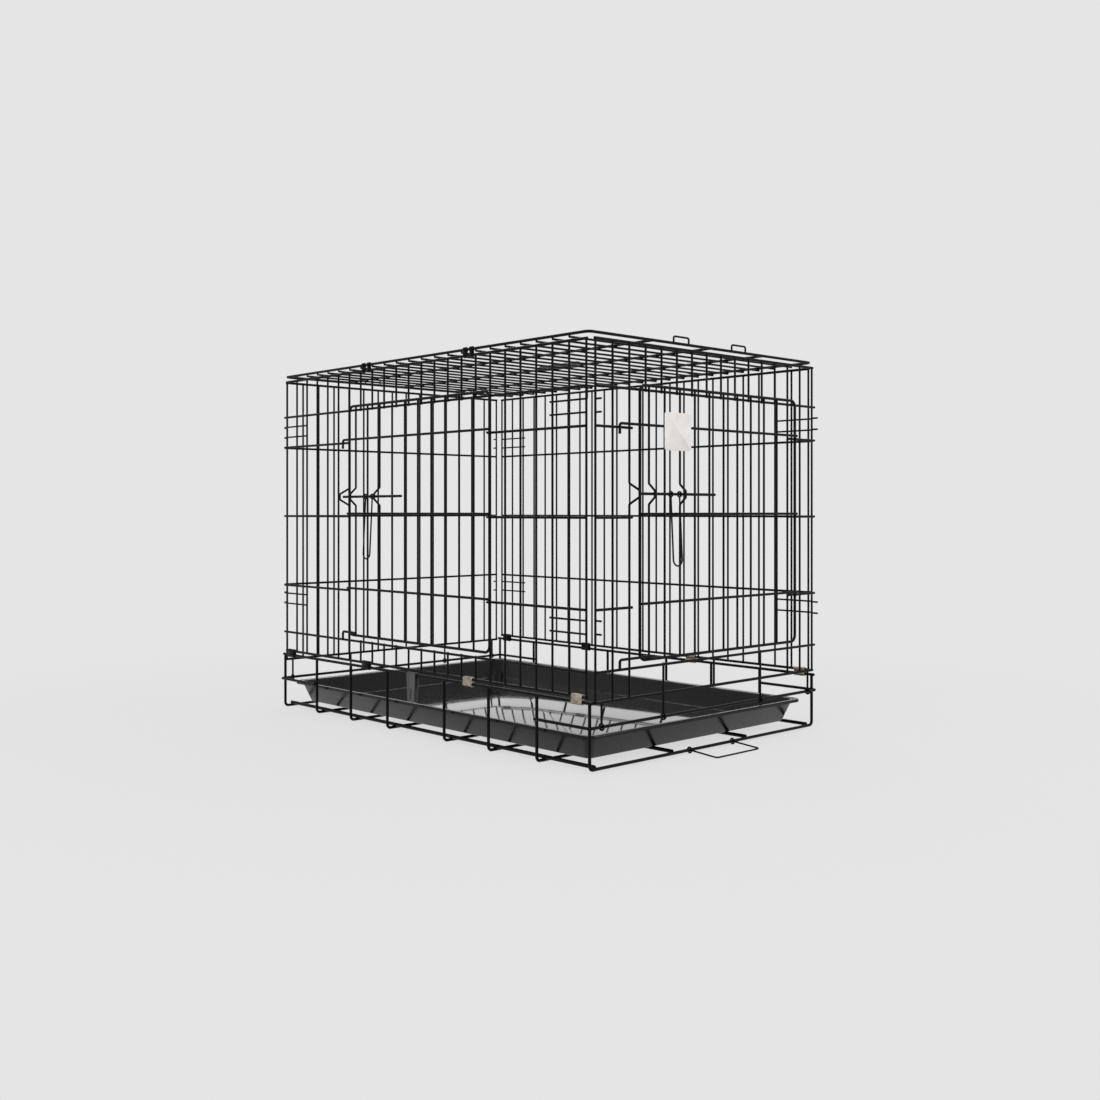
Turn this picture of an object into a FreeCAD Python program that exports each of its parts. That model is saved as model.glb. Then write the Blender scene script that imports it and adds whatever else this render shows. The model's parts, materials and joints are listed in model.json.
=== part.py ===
import FreeCAD, Part
import math
import os
import re

# Folding wire pet crate with two doors, as a parametric document in millimetres.
# The origin is on the floor under the middle of the base. +X points out of the front door's end,
# -Y out of the long side that has a door, +Z up. Each wall is drawn in its own frame: x runs along
# the wall, -y points out of the crate and z is up; a seat then turns the wall to its side.

SIZES = (
    # Overall planes of the four walls and the roof
    ("crate_length", 759),
    ("crate_width", 495),
    ("roof_height", 575),
    ("roof_rise", 9),
    ("corner_gap", 6),
    ("side_corner_gap", 10.5),
    # Wire radii
    ("bar_radius", 1.6),
    ("rail_radius", 1.9),
    ("frame_radius", 2.1),
    ("base_radius", 2.25),
    ("floor_rail_radius", 2.75),
    ("catch_radius", 1.4),
    # Fold axes: the left wall's height, and how far each wall folded under it lies below the last
    ("left_axis", 92),
    ("right_axis_drop", 8),
    ("front_axis_drop", 24),
    ("back_axis_drop", 10),
    ("side_rise", 7),
    ("end_rise", 32),
    # Cross rails of the walls: the top and bottom ones, and the share of the way up for the others
    ("rail_one_drop", 62),
    ("rail_five_rise", 40),
    ("rail_two_share", 0.86),
    ("rail_three_share", 0.54),
    ("rail_four_share", 0.218),
    # Bar spacing: gaps along a wall, and the gaps beside each doorway
    ("long_gap_count", 23),
    ("short_gap_count", 15),
    ("side_jamb_count", 6),
    ("front_jamb_count", 2),
    # Doors
    ("door_offset", 8),
    ("door_low_rise", 10),
    ("door_high_rise", 6),
    ("door_latch_inset", 12),
    ("door_hinge_past", 8),
    ("door_corner", 10),
    ("door_rail_rise", 4.5),
    ("door_first_gap", 18),
    ("left_last_gap", 35),
    ("front_last_gap", 46),
    ("door_bar_count", 10),
    ("left_hook_reach", 13),
    ("front_hook_reach", 43),
    ("hook_drop", 14),
    ("hook_hold", 24),
    ("eye_radius", 1.4),
    ("eye_gap", 0.35),
    # Slide bolts and their pull loops
    ("bolt_rise", 31.5),
    ("bolt_radius", 2),
    ("bolt_length", 156),
    ("bolt_offset", 14.55),
    ("bolt_tip_gap", 5),
    ("bolt_gap", 0.35),
    ("kink_height", 28),
    ("kink_flat", 9),
    ("kink_bend", 3),
    ("pull_length", 98),
    ("pull_width", 18),
    ("pull_inset", 62),
    ("pull_radius", 1.2),
    ("pull_gap", 0.25),
    ("pull_tilt", 3),
    # Corner catches between the walls
    ("catch_upper_drop", 17),
    ("catch_lower_drop", 14),
    ("catch_spacing", 17.5),
    ("catch_gap_count", 2),
    ("front_stud", 9),
    ("back_stud", 6),
    # Wall feet that turn on the end rails of the base
    ("foot_share", 0.22),
    ("foot_end_gap", 11.5),
    # Hinge clips, placed half way between bars by counting bar gaps from the middle
    ("clip_inner_count", 4),
    ("clip_outer_count", 11),
    ("clip_length", 20),
    ("clip_wall", 1.5),
    ("clip_gap", 0.3),
    # Roof
    ("roof_rail_count", 3),
    ("roof_corner", 8),
    ("roof_hook_share", 1.5),
    ("roof_hook_rise", 9),
    ("roof_pin_reach", 12),
    ("roof_pin_drop", 26),
    ("grip_rail", 2),
    ("grip_length", 100),
    ("grip_centre", 60),
    ("grip_radius", 9),
    # Base
    ("leg_centre_gap", 143),
    ("leg_count", 4),
    ("leg_bend", 6),
    ("end_rail_bend", 4.5),
    ("floor_rail_inset", 11.5),
    ("floor_rail_share", 0.333),
    ("stop_axis", 5),
    # Tray
    ("tray_low", 10.3),
    ("tray_high", 46),
    ("tray_end_gap", 20.5),
    ("tray_side_gap", 14.5),
    ("tray_flare", 16),
    ("tray_wall", 2.2),
    ("tray_lip", 6),
    # Tray stop
    ("stop_half", 48),
    ("stop_length", 49),
    ("stop_radius", 1.2),
    ("stop_gap", 0.25),
    ("stop_bend", 5),
    # Carry strap and the plain name plate
    ("strap_width", 21),
    ("strap_centre", -6),
    ("strap_drop", 38),
    ("strap_wall", 1.5),
    ("strap_gap", 0.3),
    ("plate_width", 55),
    ("plate_height", 52),
    ("plate_thickness", 1),
    ("plate_centre", 95),
    ("plate_drop", 2),
)

# Sizes worked out from those above
WORKED = (
    ("wall_top", "roof_height - roof_rise"),
    ("half_long", "crate_length / 2 - side_corner_gap"),
    ("half_short", "crate_width / 2 - corner_gap"),
    ("half_roof", "crate_length / 2 - corner_gap"),
    ("half_width", "crate_width / 2"),
    ("long_pitch", "2 * half_long / long_gap_count"),
    ("short_pitch", "2 * half_short / short_gap_count"),
    ("side_doorway", "half_long - side_jamb_count * long_pitch"),
    ("front_doorway", "half_short - front_jamb_count * short_pitch"),
    ("right_axis", "left_axis - right_axis_drop"),
    ("front_axis", "right_axis - front_axis_drop"),
    ("back_axis", "front_axis - back_axis_drop"),
    ("left_low", "left_axis + side_rise"),
    ("right_low", "right_axis + side_rise"),
    ("front_low", "front_axis + end_rise"),
    ("back_low", "back_axis + end_rise"),
    ("rail_out", "bar_radius + rail_radius"),
    ("rail_one", "wall_top - rail_one_drop"),
    ("rail_five", "left_axis + rail_five_rise"),
    ("rail_two", "rail_five + rail_two_share * (rail_one - rail_five)"),
    ("rail_three", "rail_five + rail_three_share * (rail_one - rail_five)"),
    ("rail_four", "rail_five + rail_four_share * (rail_one - rail_five)"),
    ("door_low", "rail_five + door_low_rise"),
    ("door_high", "rail_one + door_high_rise"),
    ("bolt_height", "rail_three + bolt_rise"),
    ("kink_crest", "bolt_offset + bolt_radius + bolt_gap + bar_radius"),
    ("catch_upper", "rail_one - catch_upper_drop"),
    ("catch_lower", "rail_four - catch_lower_drop"),
    ("foot_inner", "foot_share * crate_width"),
    ("foot_outer", "half_short - foot_end_gap"),
    ("clip_inner", "clip_inner_count * long_pitch"),
    ("clip_outer", "clip_outer_count * long_pitch"),
    ("roof_bar_level", "roof_height - frame_radius - bar_radius"),
    ("roof_rail_level", "roof_bar_level + bar_radius + rail_radius"),
    ("roof_rail_pitch", "crate_width / (roof_rail_count + 1)"),
    ("roof_hook_near", "roof_hook_share * short_pitch"),
    ("roof_hook_far", "roof_hook_near + short_pitch"),
    ("leg_end", "crate_length / 2 - 2 * base_radius"),
    ("floor_rail_outer", "half_width - floor_rail_inset"),
    ("floor_rail_inner", "half_width * floor_rail_share"),
    ("tray_half_length", "crate_length / 2 - tray_end_gap"),
    ("tray_half_width", "half_width - tray_side_gap"),
    ("plate_level", "rail_two - plate_drop"),
)

doc = FreeCAD.newDocument("FoldingPetCrate")
SHEET_OF = {}


def bound(formula):
    """The formula with every size's name pointed at its cell."""
    return re.sub(r"[a-z]+(?:_[a-z]+)+", lambda word: f"{SHEET_OF[word[0]].Name}.{word[0]}", formula)


def fill(title, rows, text):
    """Writes one sheet of named sizes."""
    sheet = doc.addObject("Spreadsheet::Sheet", title)
    for row, (name, content) in enumerate(rows, 1):
        sheet.set(f"A{row}", name)
        sheet.set(f"B{row}", text(content))
        sheet.setAlias(f"B{row}", name)
        SHEET_OF[name] = sheet
    doc.recompute()


def size(name):
    """A size as a number."""
    return float(SHEET_OF[name].get(name))


fill("Sizes", SIZES, str)
fill("Worked", WORKED, lambda formula: "=" + bound(formula))

Vec = FreeCAD.Vector
TURN = {
    "x": FreeCAD.Rotation(Vec(0, 1, 0), 90),
    "y": FreeCAD.Rotation(Vec(1, 0, 0), -90),
    "z": FreeCAD.Rotation(),
}
SEATS = {
    "left": (0, "0", "-half_width"),
    "front": (90, "crate_length / 2", "0"),
    "right": (180, "0", "half_width"),
    "back": (270, "-crate_length / 2", "0"),
}
NODES = []


def set_base(piece, x, y, z):
    """Ties a piece's place to three formulas."""
    for axis, formula in zip("xyz", (x, y, z)):
        piece.setExpression("Placement.Base." + axis, bound(formula))


def bar(radius, length, x, y, z, along):
    """One straight round bar that starts at a point and runs along an axis."""
    piece = doc.addObject("Part::Cylinder", "Bar")
    piece.setExpression("Radius", bound(radius))
    piece.setExpression("Height", bound(length))
    piece.Placement = FreeCAD.Placement(Vec(), TURN[along])
    set_base(piece, x, y, z)
    return piece


def ring(inner, wire, x, y, z, along):
    """A round eye of wire about an axis through a point."""
    piece = doc.addObject("Part::Torus", "Eye")
    piece.setExpression("Radius1", bound(f"{inner} + {wire}"))
    piece.setExpression("Radius2", bound(wire))
    piece.Placement = FreeCAD.Placement(Vec(), TURN[along])
    set_base(piece, x, y, z)
    return piece


def joined(first, second):
    """Two pieces welded into one."""
    piece = doc.addObject("Part::Fuse", "Weld")
    piece.Base = first
    piece.Tool = second
    return piece


def seated(piece, label, seat):
    """Names a piece, turns it to its side of the crate and lists it as a node."""
    piece.Label = label
    if seat:
        degrees, x, y = SEATS[seat]
        piece.Placement = FreeCAD.Placement(Vec(), FreeCAD.Rotation(Vec(0, 0, 1), degrees))
        set_base(piece, x, y, "0 mm")
    NODES.append(piece)


def group(label, pieces, seat=None):
    """A node of several parametric pieces."""
    piece = doc.addObject("Part::Compound", label)
    piece.Links = pieces
    seated(piece, label, seat)


def shaped(label, shapes, seat=None):
    """A node of bent or cut shapes."""
    piece = doc.addObject("Part::Feature", label)
    piece.Shape = Part.makeCompound(shapes)
    seated(piece, label, seat)


def bent(points, bend, radius, closed=False):
    """A round rod along straight runs that are joined by arcs of one bend radius."""
    points = [Vec(*p) for p in points]
    if closed:
        middle = (points[0] + points[-1]) / 2
        points = [middle] + points + [middle]
    edges = []
    start = points[0]
    for before, corner, after in zip(points, points[1:], points[2:]):
        back = (before - corner).normalize()
        ahead = (after - corner).normalize()
        half_turn = (math.pi - back.getAngle(ahead)) / 2
        reach = bend * math.tan(half_turn)
        enter = corner + back * reach
        leave = corner + ahead * reach
        bisector = (back + ahead).normalize()
        inside = corner + bisector * (bend / math.cos(half_turn) - bend)
        edges.append(Part.makeLine(start, enter))
        edges.append(Part.Arc(enter, inside, leave).toShape())
        start = leave
    edges.append(Part.makeLine(start, points[-1]))
    path = Part.Wire(edges)
    section = Part.Wire([Part.makeCircle(radius, points[0], points[1] - points[0])])
    return path.makePipeShell([section], True, False)


def eye(inner, wire, centre, axis):
    """A round eye as a shape, for bent pieces that end in one."""
    return Part.makeTorus(inner + wire, wire, Vec(*centre), Vec(*axis))


# Walls: bars between a top and a bottom rail, cross rails welded to their outer side


def wall_bars(side, half, count, jamb=None, skirt=True):
    """The upright bars of one wall, cut short above and below a doorway."""
    low = f"({side}_low + frame_radius)"
    tall = f"wall_top - frame_radius - {low}"
    above = "wall_top - frame_radius - rail_one + rail_radius"
    below = f"rail_five + rail_radius - {low}"
    gaps = int(size(count))
    jambs = (jamb, gaps - jamb) if jamb else (gaps, gaps)
    pieces = []
    for i in range(gaps + 1):
        x = f"{half} * ({2 * i} / {count} - 1)"
        if jambs[0] < i < jambs[1]:
            pieces.append(bar("bar_radius", above, x, "0", "rail_one - rail_radius", "z"))
            if skirt:
                pieces.append(bar("bar_radius", below, x, "0", low, "z"))
        elif i != jamb:
            pieces.append(bar("bar_radius", tall, x, "0", low, "z"))
    if not skirt:
        for x in ("-foot_inner", "0", "foot_inner"):
            pieces.append(bar("bar_radius", below, x, "0", low, "z"))
    group(f"{side}_bars", pieces, side)


def wall_rails(side, half, doorway=None):
    """Top and bottom rails of one wall and its cross rails. At a doorway the cross rails end in door eyes."""
    start = f"-{half} - bar_radius"
    length = f"2 * {half} + 2 * bar_radius"
    pieces = [bar("frame_radius", length, start, "0", level, "x") for level in ("wall_top", f"{side}_low")]
    crossing = ("rail_two", "rail_three", "rail_four")
    whole = ("rail_one", "rail_five") if doorway else crossing
    for level in whole:
        pieces.append(bar("rail_radius", length, start, "-rail_out", level, "x"))
    for level in crossing if doorway else ():
        short = f"{half} - {doorway} + 2 * bar_radius"
        beside = bar("rail_radius", short, f"{doorway} - bar_radius", "-rail_out", level, "x")
        hinge = f"{doorway} + door_hinge_past"
        door_eye = ring("(frame_radius + eye_gap)", "eye_radius", hinge, "-door_offset", level, "z")
        pieces.append(bar("rail_radius", short, start, "-rail_out", level, "x"))
        pieces.append(joined(beside, door_eye))
    group(f"{side}_rails", pieces, side)


def catch_levels():
    """The heights of the four corner catches, which are in two pairs."""
    levels = ("catch_upper", "catch_lower")
    return [f"{level} - {drop} * catch_spacing" for level in levels for drop in (0, 1)]


def corner_catches(side):
    """Pairs of short wires near both ends of a long wall, where the end walls are held."""
    length = "(catch_gap_count * long_pitch + 2 * bar_radius)"
    out = "-(bar_radius + catch_radius)"
    pieces = []
    for level in catch_levels():
        for x in ("-half_long - bar_radius", f"half_long + bar_radius - {length}"):
            pieces.append(bar("catch_radius", length, x, out, level, "x"))
    group(f"{side}_corner_catches", pieces, side)


def catch_studs(side):
    """Stub ends on an end wall's outer bars, in line with the corner catches."""
    stud = f"{side}_stud"
    out = f"-(bar_radius + {stud})"
    pieces = []
    for level in catch_levels():
        for x in ("-half_short", "half_short"):
            pieces.append(bar("catch_radius", stud, x, out, level, "y"))
    group(f"{side}_catch_studs", pieces, side)


def end_feet(side):
    """Short legs under an end wall, each with an eye that turns on the end rail of the base."""
    inner = "(base_radius + eye_gap)"
    start = f"({side}_axis + {inner} + eye_radius)"
    length = f"{side}_low - frame_radius - {start}"
    pieces = []
    for x in ("-foot_outer", "-foot_inner", "foot_inner", "foot_outer"):
        leg = bar("bar_radius", length, x, "0", start, "z")
        pieces.append(joined(leg, ring(inner, "eye_radius", x, "0", f"{side}_axis", "x")))
    group(f"{side}_hinge_feet", pieces, side)


def clip(lower, upper, lower_bore, upper_bore, centre):
    """A bent clip about two rails that run along x, one above the other."""
    length = size("clip_length")
    outer = max(lower_bore, upper_bore) + size("clip_wall")
    along = Vec(1, 0, 0)
    ends = [Vec(centre - length / 2, 0, z) for z in (lower, upper)]
    blank = Part.makeBox(length, 2 * outer, upper - lower, ends[0] - Vec(0, outer, 0))
    for end in ends:
        blank = blank.fuse(Part.makeCylinder(outer, length, end, along))
    for end, bore in zip(ends, (lower_bore, upper_bore)):
        blank = blank.cut(Part.makeCylinder(bore, length, end, along))
    return blank.removeSplitter()


def side_clips(side):
    """Clips that carry a long wall's bottom rail and turn on the hinge rail of the base."""
    turning = size("base_radius") + size("clip_gap")
    places = [sign * size(name) for name in ("clip_inner", "clip_outer") for sign in (-1, 1)]
    lower = size(f"{side}_axis")
    upper = size(f"{side}_low")
    clips = [clip(lower, upper, turning, size("frame_radius"), x) for x in places]
    shaped(f"{side}_hinge_clips", clips, side)


wall_bars("left", "half_long", "long_gap_count", jamb=int(size("side_jamb_count")))
wall_bars("right", "half_long", "long_gap_count")
wall_bars("front", "half_short", "short_gap_count", jamb=int(size("front_jamb_count")), skirt=False)
wall_bars("back", "half_short", "short_gap_count")
wall_rails("left", "half_long", "side_doorway")
wall_rails("right", "half_long")
wall_rails("front", "half_short", "front_doorway")
wall_rails("back", "half_short")
for long_side in ("left", "right"):
    corner_catches(long_side)
    side_clips(long_side)
for end_side in ("front", "back"):
    catch_studs(end_side)
    end_feet(end_side)

# Doors, their bolts and the keepers that the bolts shoot into


def kinked(x, plane, low, high):
    """An upright wire with a kink that stands out around the slide bolt."""
    middle = size("bolt_height")
    crest = size("kink_crest")
    points = [
        (x, -plane, low),
        (x, -plane, middle - size("kink_height") / 2),
        (x, -crest, middle - size("kink_flat") / 2),
        (x, -crest, middle + size("kink_flat") / 2),
        (x, -plane, middle + size("kink_height") / 2),
        (x, -plane, high),
    ]
    return bent(points, size("kink_bend"), size("bar_radius"))


def door(side, doorway):
    """One door, its bolt with a pull loop, and the keeper bar beside the doorway."""
    doorway = size(doorway)
    plane = size("door_offset")
    frame = size("frame_radius")
    rail = size("rail_radius")
    latch = -doorway + size("door_latch_inset")
    hinge = doorway + size("door_hinge_past")
    low = size("door_low")
    high = size("door_high")
    corners = [
        (latch, -plane, low),
        (hinge, -plane, low),
        (hinge, -plane, high),
        (latch, -plane, high),
    ]
    shaped(f"{side}_door_frame", [bent(corners, size("door_corner"), frame, closed=True)], side)

    count = int(size("door_bar_count"))
    first = latch + size("door_first_gap")
    last = hinge - size(f"{side}_last_gap")
    places = [first + i * (last - first) / (count - 1) for i in range(count)]
    guides = (places[0], places[2])
    span = high - low - 2 * frame
    shaped(
        f"{side}_door_bars",
        [
            Part.makeCylinder(size("bar_radius"), span, Vec(x, -plane, low + frame))
            for x in places
            if x not in guides
        ],
        side,
    )
    shaped(
        f"{side}_bolt_guides",
        [kinked(x, plane, low + frame, high - frame) for x in guides],
        side,
    )

    out = plane + frame + rail
    rise = size("door_rail_rise")
    rails = [
        Part.makeCylinder(rail, hinge - latch, Vec(latch, -out, size(level) + rise), Vec(1, 0, 0))
        for level in ("rail_three", "rail_four")
    ]
    hook_tip = latch - size(f"{side}_hook_reach")
    for start, level in ((hinge, size("rail_two") + rise), (latch + size("hook_hold"), low + rise)):
        hook = [(start, -out, level), (hook_tip, -out, level), (hook_tip, -out, level - size("hook_drop"))]
        rails.append(bent(hook, 2 * rail, rail))
    shaped(f"{side}_door_rails", rails, side)

    shaped(
        f"{side}_bolt_keeper",
        [kinked(-doorway, 0, size(f"{side}_low") + frame, size("wall_top") - frame)],
        side,
    )

    tip = -doorway + size("bolt_tip_gap")
    bolt_line = -size("bolt_offset")
    middle = size("bolt_height")
    tip_place = Vec(tip, bolt_line, middle)
    rod = Part.makeCylinder(size("bolt_radius"), size("bolt_length"), tip_place, Vec(1, 0, 0))
    shaped(f"{side}_bolt", [rod], side)

    wire = size("pull_radius")
    inner = size("bolt_radius") + size("pull_gap")
    tilt = math.radians(size("pull_tilt"))
    hang = Vec(0, -math.sin(tilt), -math.cos(tilt))
    eyes = [
        Vec(tip + size("pull_inset") + shift, bolt_line, middle)
        for shift in (0, size("pull_width"))
    ]
    ends = [e + hang * (inner + wire) for e in eyes]
    turns = [e + hang * size("pull_length") for e in eyes]
    loop = bent([ends[0], turns[0], turns[1], ends[1]], size("pull_width") * 0.49, wire)
    for e in eyes:
        loop = loop.fuse(eye(inner, wire, e, (1, 0, 0)))
    shaped(f"{side}_bolt_pull", [loop], side)


door("left", "side_doorway")
door("front", "front_doorway")

plate_out = size("door_offset") + size("frame_radius") + 2 * size("rail_radius")
plate = Part.makeBox(
    size("plate_width"),
    size("plate_thickness"),
    size("plate_height"),
    Vec(
        -size("plate_centre") - size("plate_width") / 2,
        -plate_out - size("plate_thickness"),
        size("plate_level") - size("plate_height") / 2,
    ),
)
shaped("name_plate", [plate], "front")

# Roof: a rounded frame, bars across under it and rails along it


def roof():
    """The roof's frame, bars, rails, hooks, hinge clips and grip."""
    high = size("roof_height")
    half_width = size("half_width")
    half_roof = size("half_roof")
    signs = ((-1, -1), (1, -1), (1, 1), (-1, 1))
    corners = [(a * half_roof, b * half_width, high) for a, b in signs]
    shaped("roof_frame", [bent(corners, size("roof_corner"), size("frame_radius"), closed=True)])

    bars = []
    for i in range(1, int(size("long_gap_count"))):
        x = f"half_long * ({2 * i} / long_gap_count - 1)"
        bars.append(bar("bar_radius", "crate_width", x, "-half_width", "roof_bar_level", "y"))
    group("roof_bars", bars)
    rails = []
    for i in range(1, int(size("roof_rail_count")) + 1):
        y = f"{i} * roof_rail_pitch - half_width"
        length = "2 * (half_roof - frame_radius)"
        rails.append(bar("rail_radius", length, "frame_radius - half_roof", y, "roof_rail_level", "x"))
    group("roof_rails", rails)

    wire = size("catch_radius")
    foot = high + size("frame_radius")
    top = foot + size("roof_hook_rise") - wire
    near = size("roof_hook_near")
    far = size("roof_hook_far")
    hooks = []
    for x in (-half_roof, half_roof):
        for first, last in ((near, far), (-far, -near)):
            points = [(x, first, foot), (x, first, top), (x, last, top), (x, last, foot)]
            hooks.append(bent(points, 2 * wire, wire))
    shaped("roof_hooks", hooks)

    pin_out = half_width + size("frame_radius") + wire + size("bolt_gap")
    pin_high = foot + wire
    pins = []
    for x in (-size("clip_inner"), size("clip_inner")):
        points = [
            (x, pin_out - size("roof_pin_reach"), pin_high),
            (x, pin_out, pin_high),
            (x, pin_out, pin_high - size("roof_pin_drop")),
        ]
        pins.append(bent(points, 2 * wire, wire))
    shaped("roof_side_pins", pins)

    turning = size("frame_radius") + size("clip_gap")
    clips = [
        clip(size("wall_top"), high, size("frame_radius"), turning, x)
        for x in (-size("clip_inner"), size("clip_inner"))
    ]
    shaped("roof_hinge_clips", clips, "left")

    rail = size("rail_radius")
    rail_high = size("roof_rail_level")
    rail_place = size("roof_rail_pitch") * size("grip_rail") - half_width
    length = size("grip_length")
    start = Vec(size("grip_centre") - length / 2, rail_place, rail_high - rail)
    along = Vec(1, 0, 0)
    grip = Part.makeCylinder(size("grip_radius"), length, start, along)
    under = Part.makeBox(length, 4 * size("grip_radius"), 2 * size("grip_radius"))
    under.translate(start - Vec(0, 2 * size("grip_radius"), 2 * size("grip_radius")))
    channel = Part.makeCylinder(rail, length, Vec(start.x, start.y, rail_high), along)
    mouth = Part.makeBox(length, 2 * rail, 2 * rail, Vec(start.x, start.y - rail, rail_high - 2 * rail))
    shaped("roof_grip", [grip.cut(under).cut(channel.fuse(mouth)).removeSplitter()])


roof()

# Base: bent cross wires with upright legs, hinge rails, end rails and floor rails


def base():
    """The fixed wire base that the walls fold onto."""
    half_width = size("half_width")
    radius = size("base_radius")
    end = size("leg_end")
    inner = size("leg_centre_gap") / 2
    count = int(size("leg_count"))
    places = [inner + k * (end - inner) / (count - 1) for k in range(count)]
    wires = []
    for x in [-p for p in places] + places:
        floor = size("stop_axis") if x == end else radius
        points = [
            (x, -half_width, size("left_axis") - radius),
            (x, -half_width, floor),
            (x, half_width, floor),
            (x, half_width, size("right_axis") - radius),
        ]
        wires.append(bent(points, size("leg_bend"), radius))
    shaped("base_cross_wires", wires)

    for side, y in (("left", "-half_width"), ("right", "half_width")):
        rail = bar("base_radius", "crate_length", "-crate_length / 2", y, f"{side}_axis", "x")
        group(f"base_{side}_hinge_rail", [rail])

    wrap = places[-2]
    beside = half_width + 2 * radius
    for side, sign in (("front", 1), ("back", -1)):
        x = sign * size("crate_length") / 2
        z = size(f"{side}_axis")
        points = [(sign * wrap, -beside, z), (x, -beside, z), (x, beside, z), (sign * wrap, beside, z)]
        shaped(f"base_{side}_end_rail", [bent(points, size("end_rail_bend"), radius)])

    length = "2 * (leg_end - base_radius)"
    level = "2 * base_radius + floor_rail_radius"
    rails = []
    for y in ("-floor_rail_outer", "-floor_rail_inner", "floor_rail_inner", "floor_rail_outer"):
        rails.append(bar("floor_rail_radius", length, "base_radius - leg_end", y, level, "x"))
    group("base_floor_rails", rails)


base()

# Loose pieces: the tray, its stop and the carry strap


def flared(low, high, bottom_length, bottom_width, top_length, top_width):
    """A solid with sloping sides between two rectangles."""
    outlines = []
    for z, a, b in ((low, bottom_length, bottom_width), (high, top_length, top_width)):
        corners = [Vec(-a, -b, z), Vec(a, -b, z), Vec(a, b, z), Vec(-a, b, z)]
        outlines.append(Part.makePolygon(corners + corners[:1]))
    return Part.makeLoft(outlines, True, True)


def tray():
    """The pull-out tray, with sloping walls and a flat lip."""
    low = size("tray_low")
    high = size("tray_high")
    wall = size("tray_wall")
    length = size("tray_half_length")
    width = size("tray_half_width")
    flare = size("tray_flare")
    lip = size("tray_lip")
    outer = flared(low, high, length - flare, width - flare, length, width)
    inner_length = length - wall
    inner_width = width - wall
    hollow = flared(low + wall, high, inner_length - flare, inner_width - flare, inner_length, inner_width)
    rim_corner = Vec(-length - lip, -width - lip, high - wall)
    rim = Part.makeBox(2 * (length + lip), 2 * (width + lip), wall, rim_corner)
    shaped("tray", [outer.fuse(rim).cut(hollow).removeSplitter()])


def tray_stop():
    """The wire bail that keeps the tray in, lying down in front of the base."""
    wire = size("stop_radius")
    inner = size("base_radius") + size("stop_gap")
    pivot_x = size("leg_end")
    height = size("stop_axis")
    length = size("stop_length")
    dip = math.asin((height - wire) / length)
    lay = Vec(math.cos(dip), 0, -math.sin(dip))
    eyes = [Vec(pivot_x, y, height) for y in (-size("stop_half"), size("stop_half"))]
    ends = [e + lay * (inner + wire) for e in eyes]
    turns = [e + lay * length for e in eyes]
    bail = bent([ends[0], turns[0], turns[1], ends[1]], size("stop_bend"), wire)
    for e in eyes:
        bail = bail.fuse(eye(inner, wire, e, (0, 1, 0)))
    shaped("tray_stop", [bail])


def carry_strap():
    """A plastic strap looped about the hinge rail of the side with the door."""
    inner = size("base_radius") + size("strap_gap")
    wall = size("strap_wall")
    width = size("strap_width")
    centre = Vec(size("strap_centre") - width / 2, -size("half_width"), size("left_axis"))
    drop = Vec(0, 0, -size("strap_drop"))
    along = Vec(1, 0, 0)

    def loop(radius):
        block = Part.makeBox(width, 2 * radius, size("strap_drop"), centre + drop - Vec(0, radius, 0))
        for end in (centre, centre + drop):
            block = block.fuse(Part.makeCylinder(radius, width, end, along))
        return block

    shaped("carry_strap", [loop(inner + wall).cut(loop(inner)).removeSplitter()])


tray()
tray_stop()
carry_strap()

# Recompute, test every object and write the parts

doc.recompute()
for thing in doc.Objects:
    if "Invalid" in thing.State or "Error" in thing.State:
        raise RuntimeError(f"{thing.Label} failed: {thing.State}")
for piece in NODES:
    if piece.Shape.isNull() or not piece.Shape.isValid() or not piece.Shape.Solids:
        raise RuntimeError(f"{piece.Label} has no valid solid")
os.makedirs("parts", exist_ok=True)
for piece in NODES:
    piece.Shape.exportStep(os.path.join("parts", f"{piece.Label}.step"))
    print(piece.Label, len(piece.Shape.Solids), round(piece.Shape.Volume, 1))
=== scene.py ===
import json
import math
from collections import namedtuple

import bmesh
import bpy
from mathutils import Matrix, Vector


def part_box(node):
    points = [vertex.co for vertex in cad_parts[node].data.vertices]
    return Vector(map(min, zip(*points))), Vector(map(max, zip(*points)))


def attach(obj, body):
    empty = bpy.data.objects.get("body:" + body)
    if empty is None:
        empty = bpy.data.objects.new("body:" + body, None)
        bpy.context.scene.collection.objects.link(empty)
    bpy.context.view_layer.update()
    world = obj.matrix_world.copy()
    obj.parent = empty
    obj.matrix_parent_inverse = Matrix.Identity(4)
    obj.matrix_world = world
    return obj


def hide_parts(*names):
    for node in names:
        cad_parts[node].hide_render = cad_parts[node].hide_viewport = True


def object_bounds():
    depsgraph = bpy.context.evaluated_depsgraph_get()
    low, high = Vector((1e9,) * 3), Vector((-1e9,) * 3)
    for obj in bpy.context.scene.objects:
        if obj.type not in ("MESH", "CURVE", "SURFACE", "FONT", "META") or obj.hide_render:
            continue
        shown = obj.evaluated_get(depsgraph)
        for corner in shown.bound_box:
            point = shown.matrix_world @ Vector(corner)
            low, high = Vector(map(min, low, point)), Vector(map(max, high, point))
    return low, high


MM = 0.001
Y_AXIS = 1
Z_AXIS = 2

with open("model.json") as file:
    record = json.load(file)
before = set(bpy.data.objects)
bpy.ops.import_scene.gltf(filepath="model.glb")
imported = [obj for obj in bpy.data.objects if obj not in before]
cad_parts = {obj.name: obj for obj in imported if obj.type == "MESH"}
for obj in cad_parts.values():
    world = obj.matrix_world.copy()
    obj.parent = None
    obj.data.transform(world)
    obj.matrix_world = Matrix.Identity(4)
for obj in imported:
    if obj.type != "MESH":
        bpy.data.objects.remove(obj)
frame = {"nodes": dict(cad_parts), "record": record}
cad_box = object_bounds()
nodes = frame["nodes"]
body_of_node = {n: b for b, ns in frame["record"]["behaviour"]["bodies"].items() for n in ns}


# Materials

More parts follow.
